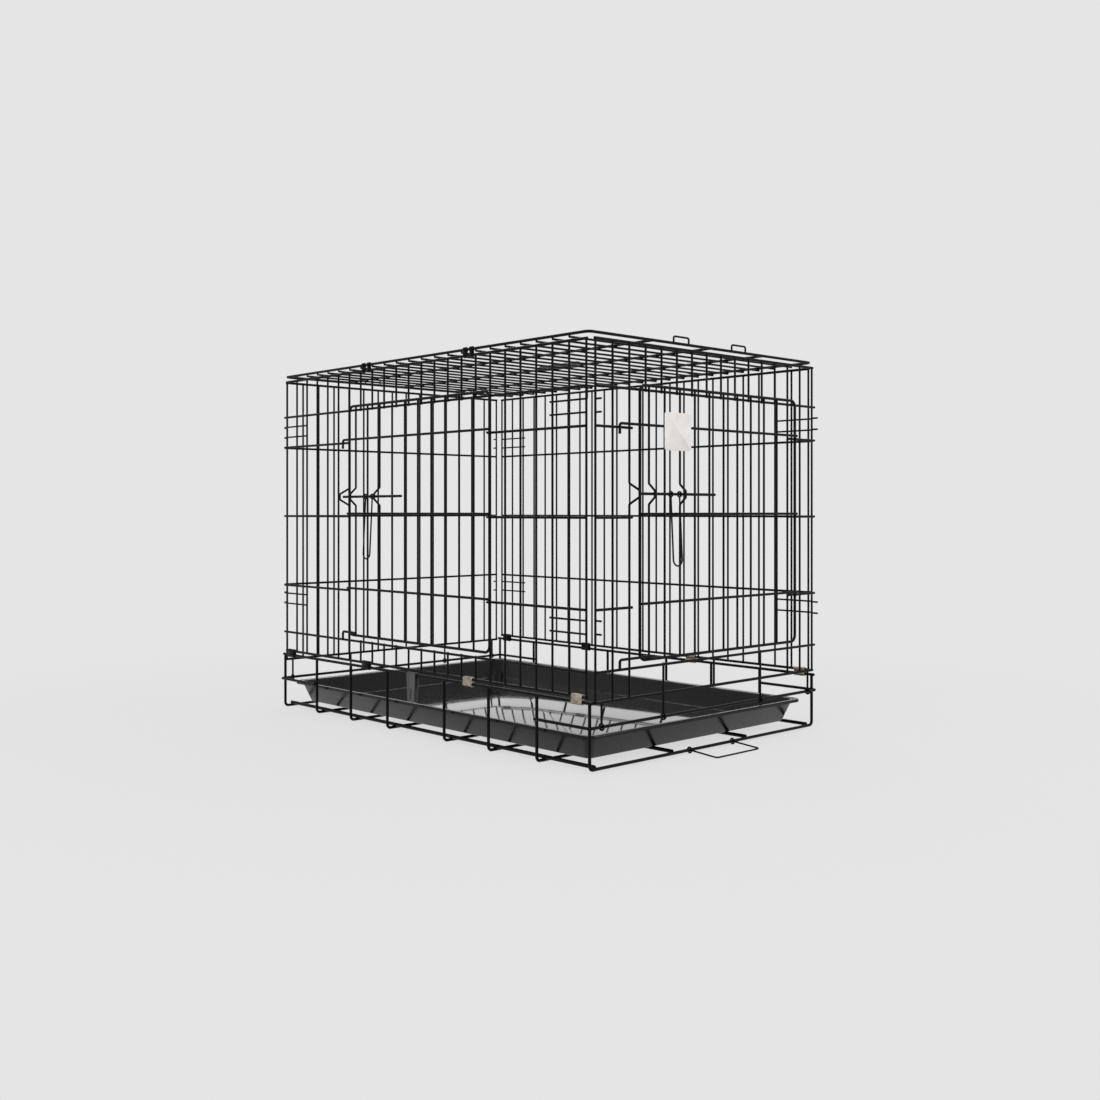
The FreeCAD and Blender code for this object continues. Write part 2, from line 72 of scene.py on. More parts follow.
# The sockets of a colour mix, which share their names with those of the other mixes.
MIX_FIRST = 6
MIX_SECOND = 7
MIX_RESULT = 2


def linear(hex_colour):
    """An sRGB hex colour as a linear RGBA tuple."""
    channels = [int(hex_colour[i:i + 2], 16) / 255 for i in (1, 3, 5)]
    return tuple(c / 12.92 if c <= 0.04045 else ((c + 0.055) / 1.055) ** 2.4 for c in channels) + (1.0,)


def add(tree, kind, inputs=None, ramp=(), **settings):
    """Adds one shader node with its settings, its input values and links, and its colour ramp's stops."""
    node = tree.nodes.new(kind)
    for name, value in settings.items():
        setattr(node, name, value)
    for key, value in (inputs or {}).items():
        if isinstance(value, bpy.types.NodeSocket):
            tree.links.new(value, node.inputs[key])
        else:
            node.inputs[key].default_value = value
    for number, (position, hex_colour) in enumerate(ramp):
        node.color_ramp.elements[number].position = position
        node.color_ramp.elements[number].color = linear(hex_colour)
    return node


def start_material(name):
    """An empty node material, its tree and its object coordinates."""
    material = bpy.data.materials.new(name)
    material.use_nodes = True
    tree = material.node_tree
    tree.nodes.clear()
    place = add(tree, "ShaderNodeTexCoord").outputs["Object"]
    return material, tree, place


def finish_material(tree, colour, gloss, bump, constants):
    """Ends a material in its shader: a colour, a range of roughness, a bump, and values that are set."""
    inputs = {"Base Color": colour, "Roughness": gloss.outputs["Result"], "Normal": bump.outputs["Normal"]}
    shader = add(tree, "ShaderNodeBsdfPrincipled", {**inputs, **constants})
    add(tree, "ShaderNodeOutputMaterial", {"Surface": shader.outputs["BSDF"]})


def per_metre(millimetres):
    """The texture scale at which one cell of a pattern is this many millimetres wide."""
    return 1 / (millimetres * MM)


def epoxy_coated_wire():
    """Drawn steel wire with a baked black epoxy coat: deep black, semi-gloss, with a soft orange-peel
    ripple in the highlight, slightly greyer where dust has settled, and duller where it has been rubbed."""
    material, tree, place = start_material("epoxy_coated_wire")
    patches = add(tree, "ShaderNodeTexNoise", {"Vector": place, "Scale": per_metre(45), "Detail": 3.0})
    rubbed = add(tree, "ShaderNodeTexNoise", {"Vector": place, "Scale": per_metre(7), "Detail": 5.0})
    # The coat's real ripple is near half a millimetre, drawn here at 1.5 so that it shows.
    ripple = add(tree, "ShaderNodeTexNoise", {"Vector": place, "Scale": per_metre(1.5), "Detail": 2.0})
    shade = add(
        tree,
        "ShaderNodeValToRGB",
        {"Fac": patches.outputs["Fac"]},
        ramp=((0.35, "#050506"), (0.75, "#0b0b0c")),
    )
    dusty = add(
        tree,
        "ShaderNodeMapRange",
        {"Value": rubbed.outputs["Fac"], "From Min": 0.6, "From Max": 0.85, "To Min": 0.0, "To Max": 0.25},
    )
    colour = add(
        tree,
        "ShaderNodeMix",
        {
            "Factor": dusty.outputs["Result"],
            MIX_FIRST: shade.outputs["Color"],
            MIX_SECOND: linear("#1c1b1a"),
        },
        data_type="RGBA",
    )
    gloss = add(
        tree,
        "ShaderNodeMapRange",
        {"Value": rubbed.outputs["Fac"], "From Min": 0.3, "From Max": 0.75, "To Min": 0.24, "To Max": 0.46},
    )
    bump = add(
        tree,
        "ShaderNodeBump",
        {"Height": ripple.outputs["Fac"], "Strength": 0.25, "Distance": 0.05 * MM},
    )
    constants = {"IOR": 1.55, "Specular IOR Level": 0.08}
    finish_material(tree, colour.outputs[MIX_RESULT], gloss, bump, constants)
    return material


def zinc_plated_strip():
    """Zinc-plated steel strip with a pale yellow passivate: dull metal with small crystal spangles and a
    straw tint that comes and goes."""
    material, tree, place = start_material("zinc_plated_strip")
    spangle = add(tree, "ShaderNodeTexVoronoi", {"Vector": place, "Scale": per_metre(1.8)})
    tint = add(tree, "ShaderNodeTexNoise", {"Vector": place, "Scale": per_metre(6), "Detail": 4.0})
    shade = add(
        tree,
        "ShaderNodeValToRGB",
        {"Fac": tint.outputs["Fac"]},
        ramp=((0.35, "#8a7d6a"), (0.7, "#b9b2a5")),
    )
    from_centre = spangle.outputs["Distance"]
    gloss = add(
        tree,
        "ShaderNodeMapRange",
        {"Value": from_centre, "From Min": 0.0, "From Max": 0.8, "To Min": 0.28, "To Max": 0.5},
    )
    bump = add(tree, "ShaderNodeBump", {"Height": from_centre, "Strength": 0.3, "Distance": 0.05 * MM})
    finish_material(tree, shade.outputs["Color"], gloss, bump, {"Metallic": 1.0})
    return material


def formed_polystyrene(name, smoothest, roughest, reflection, coat):
    """High-impact polystyrene sheet, vacuum-formed: a warm near-black with a fine pebble from the sheet
    and faint straight scuffs along the way the tray slides. The flat floor keeps the sheet's wet gloss, and
    the walls are duller, because the sheet was stretched there."""
    material, tree, place = start_material(name)
    cloud = add(tree, "ShaderNodeTexNoise", {"Vector": place, "Scale": per_metre(90), "Detail": 3.0})
    along = add(tree, "ShaderNodeMapping", {"Vector": place, "Scale": (0.03, 1.0, 1.0)})
    drawn_out = along.outputs["Vector"]
    scuff = add(tree, "ShaderNodeTexNoise", {"Vector": drawn_out, "Scale": per_metre(3), "Detail": 6.0})
    # The sheet's pebble is under a millimetre, drawn at 2 so that it breaks up the highlight.
    pebble = add(tree, "ShaderNodeTexNoise", {"Vector": place, "Scale": per_metre(2), "Detail": 2.0})
    shade = add(
        tree,
        "ShaderNodeValToRGB",
        {"Fac": cloud.outputs["Fac"]},
        ramp=((0.3, "#0e0c0c"), (0.75, "#161314")),
    )
    gloss = add(
        tree,
        "ShaderNodeMapRange",
        {
            "Value": scuff.outputs["Fac"],
            "From Min": 0.45,
            "From Max": 0.75,
            "To Min": smoothest,
            "To Max": roughest,
        },
    )
    bump = add(
        tree,
        "ShaderNodeBump",
        {"Height": pebble.outputs["Fac"], "Strength": 0.03, "Distance": 0.05 * MM},
    )
    constants = {"IOR": 1.59, "Specular IOR Level": reflection, "Coat Weight": coat, "Coat Roughness": 0.05}
    finish_material(tree, shade.outputs["Color"], gloss, bump, constants)
    return material


def moulded_polypropylene(name, darkest, lightest):
    """Injection-moulded polypropylene: black or grey with a satin, slightly waxy sheen over a fine
    spark-eroded grain."""
    material, tree, place = start_material(name)
    cloud = add(tree, "ShaderNodeTexNoise", {"Vector": place, "Scale": per_metre(12), "Detail": 3.0})
    # Spark grain is about a tenth of a millimetre, drawn at 0.8 so that it shows in close views.
    grain = add(tree, "ShaderNodeTexNoise", {"Vector": place, "Scale": per_metre(0.8), "Detail": 1.0})
    shade = add(
        tree,
        "ShaderNodeValToRGB",
        {"Fac": cloud.outputs["Fac"]},
        ramp=((0.3, darkest), (0.7, lightest)),
    )
    gloss = add(
        tree,
        "ShaderNodeMapRange",
        {"Value": cloud.outputs["Fac"], "From Min": 0.3, "From Max": 0.7, "To Min": 0.34, "To Max": 0.5},
    )
    bump = add(
        tree,
        "ShaderNodeBump",
        {"Height": grain.outputs["Fac"], "Strength": 0.3, "Distance": 0.05 * MM},
    )
    finish_material(tree, shade.outputs["Color"], gloss, bump, {"IOR": 1.49})
    return material


def white_rigid_vinyl():
    """Calendered rigid vinyl sheet, die cut: white, faintly warm and uneven, with a soft satin face."""
    material, tree, place = start_material("white_rigid_vinyl")
    cloud = add(tree, "ShaderNodeTexNoise", {"Vector": place, "Scale": per_metre(14), "Detail": 4.0})
    shade = add(
        tree,
        "ShaderNodeValToRGB",
        {"Fac": cloud.outputs["Fac"]},
        ramp=((0.3, "#e8e4e2"), (0.7, "#f5f2ef")),
    )
    gloss = add(
        tree,
        "ShaderNodeMapRange",
        {"Value": cloud.outputs["Fac"], "From Min": 0.3, "From Max": 0.7, "To Min": 0.35, "To Max": 0.48},
    )
    bump = add(
        tree,
        "ShaderNodeBump",
        {"Height": cloud.outputs["Fac"], "Strength": 0.08, "Distance": 0.2 * MM},
    )
    finish_material(tree, shade.outputs["Color"], gloss, bump, {"IOR": 1.53})
    return material


COATED = epoxy_coated_wire()
ZINC = zinc_plated_strip()
SHEET = formed_polystyrene("formed_polystyrene", smoothest=0.18, roughest=0.32, reflection=0.16, coat=0.0)
GLOSSY_SHEET = formed_polystyrene(
    "glossy_polystyrene",
    smoothest=0.06,
    roughest=0.15,
    reflection=0.4,
    coat=0.9,
)
BLACK_MOULDED = moulded_polypropylene("black_polypropylene", "#1c1c1d", "#2a2b2c")
GREY_MOULDED = moulded_polypropylene("grey_polypropylene", "#3b3c3d", "#4d4e50")
VINYL = white_rigid_vinyl()
FINISHES = {
    "coated_wire": COATED,
    "zinc_steel": ZINC,
    "tray_plastic": SHEET,
    "strap_plastic": BLACK_MOULDED,
    "plate_plastic": VINYL,
}

for part in frame["record"]["subparts"]:
    node_mesh = nodes[part["node"]].data
    node_mesh.materials.clear()
    node_mesh.materials.append(FINISHES[part["material_slot"]])


# Wires found in the frame

# The straight run of a wire: its axis, its middle line, its two ends along the axis, and its radius.
Wire = namedtuple("Wire", "run line start end radius")


def islands(thing):
    """The lowest and highest corner of each separate solid in a node."""
    same_point = 0.001 * MM
    bm = bmesh.new()
    bm.from_mesh(thing.data)
    bmesh.ops.remove_doubles(bm, verts=bm.verts, dist=same_point)
    seen = set()
    boxes = []
    for start in bm.verts:
        if start in seen:
            continue
        seen.add(start)
        queue = [start]
        low = start.co.copy()
        high = start.co.copy()
        while queue:
            vert = queue.pop()
            for axis in range(3):
                low[axis] = min(low[axis], vert.co[axis])
                high[axis] = max(high[axis], vert.co[axis])
            for edge in vert.link_edges:
                other = edge.other_vert(vert)
                if other not in seen:
                    seen.add(other)
                    queue.append(other)
        boxes.append((low, high))
    bm.free()
    return boxes


def wires(node):
    """The straight run of each wire in a node. A kink, eye or hook widens a wire's box away from the
    crate's middle, or downwards, so the line is taken from the other side of the box."""
    found = []
    for low, high in islands(nodes[node]):
        spans = high - low
        run = max(range(3), key=lambda axis: spans[axis])
        radius = min(spans) / 2
        # A wire without such a bend is two radii wide.
        widened = 2.2 * radius
        line = (low + high) / 2
        for axis in range(3):
            if axis == run or spans[axis] < widened:
                continue
            if axis != Z_AXIS and line[axis] > 0:
                line[axis] = low[axis] + radius
            else:
                line[axis] = high[axis] - radius
        found.append(Wire(run, line, low[run], high[run], radius))
    return found


def cross_wire_runs():
    """The floor run and the two legs of each bent cross wire of the base."""
    floors = []
    legs = []
    for low, high in islands(nodes["base_cross_wires"]):
        radius = (high.x - low.x) / 2
        middle = (low + high) / 2
        line = Vector((middle.x, middle.y, low.z + radius))
        floors.append(Wire(Y_AXIS, line, low.y, high.y, radius))
        for y, rail in (
            (low.y + radius, "base_left_hinge_rail"),
            (high.y - radius, "base_right_hinge_rail"),
        ):
            line = Vector((middle.x, y, middle.z))
            legs.append(Wire(Z_AXIS, line, low.z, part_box(rail)[0][Z_AXIS], radius))
    return floors, legs


def third_axis(first, second):
    """The number of the axis that is left. The three numbers add up to 3."""
    return 3 - first - second


def hoop_wires(node):
    """The four straight runs of a closed rectangular frame, taken from its box."""
    low, high = (Vector(corner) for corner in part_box(node))
    spans = high - low
    flat = min(range(3), key=lambda axis: spans[axis])
    radius = spans[flat] / 2
    found = []
    for run in range(3):
        if run == flat:
            continue
        side = third_axis(flat, run)
        for place in (low[side] + radius, high[side] - radius):
            line = (low + high) / 2
            line[side] = place
            found.append(Wire(run, line, low[run], high[run], radius))
    return found


def crossings(first, second):
    """The points where wires of two lists touch, side against side or end against side, each with the
    axis along which they press on each other."""
    slack = 0.45 * MM
    points = []
    for one in first:
        for two in second:
            if one.run == two.run:
                continue
            apart = third_axis(one.run, two.run)
            gap = two.line[apart] - one.line[apart]
            on_one = one.start - slack <= two.line[one.run] <= one.end + slack
            on_two = two.start - slack <= one.line[two.run] <= two.end + slack
            point = one.line.copy()
            if on_one and on_two and abs(abs(gap) - one.radius - two.radius) < slack:
                point[one.run] = two.line[one.run]
                point[apart] += math.copysign(one.radius, gap)
                points.append((point, apart))
            elif on_two and abs(gap) < slack:
                for end in (one.start, one.end):
                    if abs(abs(end - two.line[one.run]) - two.radius) < slack:
                        point[one.run] = end
                        points.append((point.copy(), one.run))
    return points


# Pieces


def piece(name, bm, finish, body, smooth_degrees=40):
    """Turns a bmesh into a finished piece that rides on a body."""
    bmesh.ops.recalc_face_normals(bm, faces=bm.faces)
    mesh = bpy.data.meshes.new(name)
    bm.to_mesh(mesh)
    bm.free()
    mesh.materials.append(finish)
    mesh.shade_smooth()
    mesh.set_sharp_from_angle(angle=math.radians(smooth_degrees))
    thing = bpy.data.objects.new(name, mesh)
    bpy.context.collection.objects.link(thing)
    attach(thing, body)
    return thing


def bridge(bm, first, second):
    """Joins two closed rings of vertices of the same count with quads, and returns those quads."""
    count = len(first)
    faces = []
    for i in range(count):
        k = (i + 1) % count
        faces.append(bm.faces.new((first[i], first[k], second[k], second[i])))
    return faces


def skin(bm, rings):
    """Makes a closed skin over a row of rings of points. Returns its two caps and its rows of quads."""
    loops = [[bm.verts.new(point) for point in ring] for ring in rings]
    caps = [bm.faces.new(loops[0]), bm.faces.new(loops[-1])]
    rows = [bridge(bm, first, second) for first, second in zip(loops, loops[1:])]
    return caps, rows


def arc(radius, centre, first_angle, last_angle, steps):
    """Points along an arc about a centre, given in the plane of a section, with its angles in radians."""
    points = []
    for step in range(steps + 1):
        angle = first_angle + (last_angle - first_angle) * step / steps
        points.append((centre[0] + radius * math.cos(angle), centre[1] + radius * math.sin(angle)))
    return points


def rounded_rectangle(half_x, half_y, radius, steps=6):
    """The points of a rectangle with round corners, once around."""
    points = []
    for corner, (sx, sy) in enumerate(((1, 1), (-1, 1), (-1, -1), (1, -1))):
        centre = (sx * (half_x - radius), sy * (half_y - radius))
        start = corner * math.pi / 2
        points += arc(radius, centre, start, start + math.pi / 2, steps)
    return points


def tray_shell():
    """The formed tray: round bottom edge, sloping wall, a lip that turns down, a raised floor field."""
    low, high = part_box("tray")
    half_x = (high[0] - low[0]) / 2
    half_y = (high[1] - low[1]) / 2
    floor = low[2]
    rim = high[2]
    lip = 6 * MM
    wall = 2.2 * MM
    slope = 22 * MM
    inside = floor + wall
    field = inside + 4 * MM
    # Each ring of the section, from under the floor, out and over the lip, and back to the floor:
    # how far inside the tray's outline it lies, its height, and its corner radius.
    section = (
        (slope + 6 * MM, floor, 6 * MM),
        (slope + 1.5 * MM, floor + 0.4 * MM, 8 * MM),
        (slope - 1 * MM, floor + 2 * MM, 9 * MM),
        (lip + 4 * MM, rim - 5.5 * MM, 13 * MM),
        (lip + 1.5 * MM, rim - 3.2 * MM, 14 * MM),
        (lip - 1.5 * MM, rim - wall, 15 * MM),
        (1.6 * MM, rim - wall - 0.2 * MM, 16 * MM),
        (0.9 * MM, rim - 4.2 * MM, 16.5 * MM),
        (0.0, rim - 4.2 * MM, 17 * MM),
        (0.0, rim - 1.2 * MM, 17 * MM),
        (1.0 * MM, rim, 16 * MM),
        (lip - 0.5 * MM, rim, 14 * MM),
        (lip + 2 * MM, rim - 1 * MM, 13 * MM),
        (lip + 4.6 * MM, rim - 3.4 * MM, 12 * MM),
        (slope + 1 * MM, inside + 1.9 * MM, 8 * MM),
        (slope + 3.5 * MM, inside + 0.4 * MM, 7 * MM),
        (slope + 7 * MM, inside, 6 * MM),
        (slope + 16 * MM, inside, 12 * MM),
        (slope + 18 * MM, inside + 0.5 * MM, 12 * MM),
        (slope + 23 * MM, field - 0.5 * MM, 12 * MM),
        (slope + 25 * MM, field, 12 * MM),
    )
    # The row of the section from which the glossy floor begins, and the floor's place among the finishes.
    floor_row = 15
    glossy = 1
    rings = []
    for inset, height, radius in section:
        outline = rounded_rectangle(half_x - inset, half_y - inset, radius)
        rings.append([(x, y, height) for x, y in outline])
    bm = bmesh.new()
    caps, rows = skin(bm, rings)
    caps[1].material_index = glossy
    for row in rows[floor_row:]:
        for face in row:
            face.material_index = glossy
    thing = piece("tray_shell", bm, SHEET, "tray", smooth_degrees=50)
    thing.data.materials.append(GLOSSY_SHEET)
    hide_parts("tray")


# How far a clip's strip stands out round the rail that it turns on and round the rail that it grips, as
# shares of the clip's half width.
TURNING = 0.98
GRIPPED = 0.86


def hinge_clips(node, lower_reach, upper_reach, front_finish, bands=((0.0, 1.0),)):
    """Strips wrapped round two rails and nipped in between them, for each clip of a node. The bands are
    the shares of a clip's length that a strip covers. Clips in the rear half are coated like the wire."""
    arc_steps = 12
    waist_share = 0.55
    edge = 0.5 * MM
    edge_scale = 0.9
    coated = 1
    bm = bmesh.new()
    for first, last in islands(nodes[node]):
        middle_y = (first.y + last.y) / 2
        half_width = (last.y - first.y) / 2
        waist = half_width * waist_share
        length = last.x - first.x
        lower = first.z + half_width
        upper = last.z - half_width
        centre = (lower + upper) / 2
        over = arc(half_width * upper_reach, (0.0, upper), 0.0, math.pi, arc_steps)
        under = arc(half_width * lower_reach, (0.0, lower), math.pi, 2 * math.pi, arc_steps)
        outline = over + [(-waist, centre)] + under + [(waist, centre)]
        for near, far in bands:
            start = first.x + near * length
            end = first.x + far * length
            sections = ((start, edge_scale), (start + edge, 1.0), (end - edge, 1.0), (end, edge_scale))
            rings = []
            for x, scale in sections:
                tall = (1 + scale) / 2
                rings.append([(x, middle_y + y * scale, centre + (z - centre) * tall) for y, z in outline])
            caps, rows = skin(bm, rings)
            for face in caps + sum(rows, []):
                face.material_index = coated if first.x + last.x < 0 else 0
    thing = piece(node + "_strip", bm, front_finish, body_of_node[node], smooth_degrees=35)
    thing.data.materials.append(COATED)
    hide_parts(node)


def strap_loop(radius, top, bottom, bends=10, rows=18):
    """The strap's middle line once round: over the rail, down outside, under, and up inside."""
    points = []
    for turn, side, start, end in ((0, -radius, top, bottom), (1, radius, bottom, top)):
        points += arc(radius, (0.0, start), turn * math.pi, (turn + 1) * math.pi, bends)[:-1]
        for step in range(rows):
            points.append((side, start + (end - start) * step / rows))
    return points


def carry_strap():
    """A moulded strap looped over the hinge rail: tapered, with thick edges and a slot near its end."""
    low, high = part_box("carry_strap")
    wall = 1.5 * MM
    half_width = (high[0] - low[0]) / 2
    middle_x = (low[0] + high[0]) / 2
    middle_y = (low[1] + high[1]) / 2
    radius = (high[1] - low[1]) / 2 - wall / 2
    top = high[2] - wall / 2 - radius
    bottom = low[2] + wall / 2 + radius
    taper = 0.2
    slot_low = bottom + 2 * MM
    slot_high = bottom + 17 * MM
    # Shares of the half width across the strap, and how far its outer face stands out there.
    columns = ((-1, 0.6), (-0.94, 1), (-0.8, 1), (-0.72, 0.4), (-0.28, 0.4))
    columns += tuple((-share, lift) for share, lift in reversed(columns))
    slot_column = 4
    line = strap_loop(radius, top, bottom)
    count = len(line)
    bm = bmesh.new()
    outer = []
    inner = []
    for i, (y, z) in enumerate(line):
        before = Vector(line[i - 1])
        after = Vector(line[(i + 1) % count])
        run = (after - before).normalized()
        out = Vector((run.y, -run.x)) * wall / 2
        reach = half_width * (1 - taper * min(1, max(0, (top - z) / (top - bottom))))
        across = [(middle_x + share * reach, lift) for share, lift in columns]
        place = middle_y + y
        outer.append([bm.verts.new((x, place + out.x * lift, z + out.y * lift)) for x, lift in across])
        inner.append([bm.verts.new((x, place - out.x, z - out.y)) for x, _ in across])

    def in_slot(i, j):
        y, z = line[i % count]
        return y < 0 and slot_low < z < slot_high and j == slot_column

    for i in range(count):
        k = (i + 1) % count
        for j in range(len(columns) - 1):
            if in_slot(i, j):
                for edge in (j, j + 1):
                    bm.faces.new((outer[i][edge], outer[k][edge], inner[k][edge], inner[i][edge]))
                for other, row in ((i - 1, i), (i + 1, k)):
                    if not in_slot(other, j):
                        bm.faces.new((outer[row][j], outer[row][j + 1], inner[row][j + 1], inner[row][j]))
                continue
            for side in (outer, inner):
                bm.faces.new((side[i][j], side[i][j + 1], side[k][j + 1], side[k][j]))
        for j in (0, len(columns) - 1):
            bm.faces.new((outer[i][j], outer[k][j], inner[k][j], inner[i][j]))
    thing = piece("moulded_carry_strap", bm, GREY_MOULDED, "carry_strap")
    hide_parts("carry_strap")


def roof_grip():
    """The half-round grip on a roof rail, with shallow finger waves and rounded ends."""
    low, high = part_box("roof_grip")
    middle_y = (low[1] + high[1]) / 2
    radius = (high[1] - low[1]) / 2
    length = high[0] - low[0]
    fingers = 4
    wave_depth = 0.04
    blunt_end = 0.35
    stations = 48
    arc_steps = 16
    rings = []
    for step in range(stations + 1):
        share = step / stations
        x = low[0] + share * length
        from_end = min(share, 1 - share) * length
        ending = math.sqrt(max(0.0, 1 - max(0.0, 1 - from_end / radius) ** 2))
        wave = 1 - wave_depth * (1 + math.cos(2 * math.pi * fingers * share))
        size = radius * max(blunt_end, ending) * wave
        rings.append([(x, y, z) for y, z in arc(size, (middle_y, low[2]), 0.0, math.pi, arc_steps)])
    bm = bmesh.new()
    skin(bm, rings)
    thing = piece("moulded_roof_grip", bm, BLACK_MOULDED, "roof", smooth_degrees=50)
    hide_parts("roof_grip")


def name_plate():
    """The plain plate on the front door: round corners, soft edges, and two hooks round a door rail."""
    low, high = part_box("name_plate")
    middle_y = (low[1] + high[1]) / 2
    middle_z = (low[2] + high[2]) / 2
    half_y = (high[1] - low[1]) / 2
    half_z = (high[2] - low[2]) / 2
    corner = 4 * MM
    edge = 0.25 * MM
    rings = []
    for x, inset in ((low[0], edge), (low[0] + edge, 0.0), (high[0] - edge, 0.0), (high[0], edge)):
        outline = rounded_rectangle(half_y - inset, half_z - inset, corner)
        rings.append([(x, middle_y + y, middle_z + z) for y, z in outline])
    bm = bmesh.new()
    skin(bm, rings)
    rail = max(wires("front_door_rails"), key=lambda wire: wire.line.z)
    centre = (rail.line.x, rail.line.z)
    bore = rail.radius + 0.05 * MM
    hook_wall = 0.9 * MM
    hook_half = 3 * MM
    # The hooks' places as shares of the plate's half width, and the angles at which their open arc ends.
    hook_shares = (-0.55, 0.55)
    first_lip = math.radians(40)
    last_lip = math.radians(320)
    arc_steps = 12
    outline = arc(bore + hook_wall, centre, first_lip, last_lip, arc_steps)
    outline += reversed(arc(bore, centre, first_lip, last_lip, arc_steps))
    for share in hook_shares:
        hook_y = middle_y + share * half_y
        skin(bm, [[(x, y, z) for x, z in outline] for y in (hook_y - hook_half, hook_y + hook_half)])
    thing = piece("plain_name_plate", bm, VINYL, "front_door")
    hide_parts("name_plate")


def bead(bm, centre, half_sizes, rings=5, sides=8):
    """A small closed egg shape."""
    top = bm.verts.new(centre + Vector((0, 0, half_sizes[2])))
    bottom = bm.verts.new(centre - Vector((0, 0, half_sizes[2])))
    belts = []
    for ring in range(1, rings):
        tilt = math.pi * ring / rings
        belt = []
        for side in range(sides):
            turn = 2 * math.pi * side / sides
            x = half_sizes[0] * math.sin(tilt) * math.cos(turn)
            y = half_sizes[1] * math.sin(tilt) * math.sin(turn)
            z = half_sizes[2] * math.cos(tilt)
            belt.append(bm.verts.new(centre + Vector((x, y, z))))
        belts.append(belt)
    for side in range(sides):
        other = (side + 1) % sides
        bm.faces.new((top, belts[0][side], belts[0][other]))
        bm.faces.new((bottom, belts[-1][other], belts[-1][side]))
    for first, second in zip(belts, belts[1:]):
        bridge(bm, first, second)


def weld_beads(body, pairs):
    """Spot-weld beads where the wires of a body cross or meet, as one piece."""
    spread = 1.55 * MM
    depth = 0.85 * MM
    bm = bmesh.new()
    for first, second in pairs:
        for point, thin in crossings(first, second) + crossings(second, first):
            sizes = [spread] * 3
            sizes[thin] = depth
            bead(bm, point, sizes)
    piece(body + "_weld_beads", bm, COATED, body, smooth_degrees=180)


def wire_tips(name, body, node):
    """Round tips on the free ends of cut wires. An end at the edge of the crate's own box stays flat."""
    dome_share = 0.45
    width_share = 0.99
    bm = bmesh.new()
    for wire in wires(node):
        dome = dome_share * wire.radius
        for place in (wire.start, wire.end):
            if place - dome < cad_box[0][wire.run] or place + dome > cad_box[1][wire.run]:
                continue
            centre = wire.line.copy()
            centre[wire.run] = place
            sizes = [width_share * wire.radius] * 3
            sizes[wire.run] = dome
            bead(bm, centre, sizes, rings=6, sides=14)
    piece(name, bm, COATED, body, smooth_degrees=180)


tray_shell()
hinge_clips("left_hinge_clips", TURNING, GRIPPED, ZINC)
hinge_clips("right_hinge_clips", TURNING, GRIPPED, ZINC)
hinge_clips("roof_hinge_clips", GRIPPED, TURNING, COATED, bands=((0.0, 0.28), (0.72, 1.0)))
carry_strap()
roof_grip()
name_plate()

for side, body in (
    ("left", "left_side"),
    ("right", "right_side"),
    ("front", "front_panel"),
    ("back", "back_panel"),
):
    uprights = wires(f"{side}_bars")
    rails = wires(f"{side}_rails")
    pairs = [(uprights, rails)]
    if side in ("left", "front"):
        pairs.append((wires(f"{side}_bolt_keeper"), rails))
    if side in ("left", "right"):
        pairs.append((uprights, wires(f"{side}_corner_catches")))
    else:
        pairs.append((uprights, wires(f"{side}_catch_studs")))
        pairs.append((wires(f"{side}_hinge_feet"), rails))
    weld_beads(body, pairs)
for side, body in (("left", "side_door"), ("front", "front_door")):
    hoop = hoop_wires(f"{side}_door_frame")
    uprights = wires(f"{side}_door_bars") + wires(f"{side}_bolt_guides")
    weld_beads(body, [(uprights, hoop), (wires(f"{side}_door_rails"), hoop)])
hoop = hoop_wires("roof_frame")
bars = wires("roof_bars")
rails = wires("roof_rails")
weld_beads("roof", [(bars, hoop), (bars, rails), (rails, hoop)])
floors, legs = cross_wire_runs()
hinge_rails = wires("base_left_hinge_rail") + wires("base_right_hinge_rail")
weld_beads("base", [(floors, wires("base_floor_rails")), (legs, hinge_rails)])
wire_tips("side_bolt_tips", "side_bolt", "left_bolt")
wire_tips("front_bolt_tips", "front_bolt", "front_bolt")
wire_tips("front_stud_tips", "front_panel", "front_catch_studs")
wire_tips("back_stud_tips", "back_panel", "back_catch_studs")


# Floor, light and camera

PALE = linear("#e5e5e5")


def seen_directly(tree):
    """One where a camera, glossy or transmission ray looks, zero for the light on surfaces."""
    path = add(tree, "ShaderNodeLightPath")
    either = add(
        tree,
        "ShaderNodeMath",
        {0: path.outputs["Is Camera Ray"], 1: path.outputs["Is Glossy Ray"]},
        operation="MAXIMUM",
    )
    return add(
        tree,
        "ShaderNodeMath",
        {0: either.outputs[0], 1: path.outputs["Is Transmission Ray"]},
        operation="MAXIMUM",
    ).outputs[0]


def pale_world():
    """An even pale surround, seen as it is written and giving a soft fill light."""
    world = bpy.data.worlds.new("pale_studio")
    world.use_nodes = True
    tree = world.node_tree
    tree.nodes.clear()
    shown = add(tree, "ShaderNodeBackground", {"Color": PALE, "Strength": 1.0})
    fill = add(tree, "ShaderNodeBackground", {"Color": (1.0, 1.0, 1.0, 1.0), "Strength": 0.5})
    mixed = add(
        tree,
        "ShaderNodeMixShader",
        {0: seen_directly(tree), 1: fill.outputs["Background"], 2: shown.outputs["Background"]},
    )
    add(tree, "ShaderNodeOutputWorld", {"Surface": mixed.outputs["Shader"]})
    bpy.context.scene.world = world


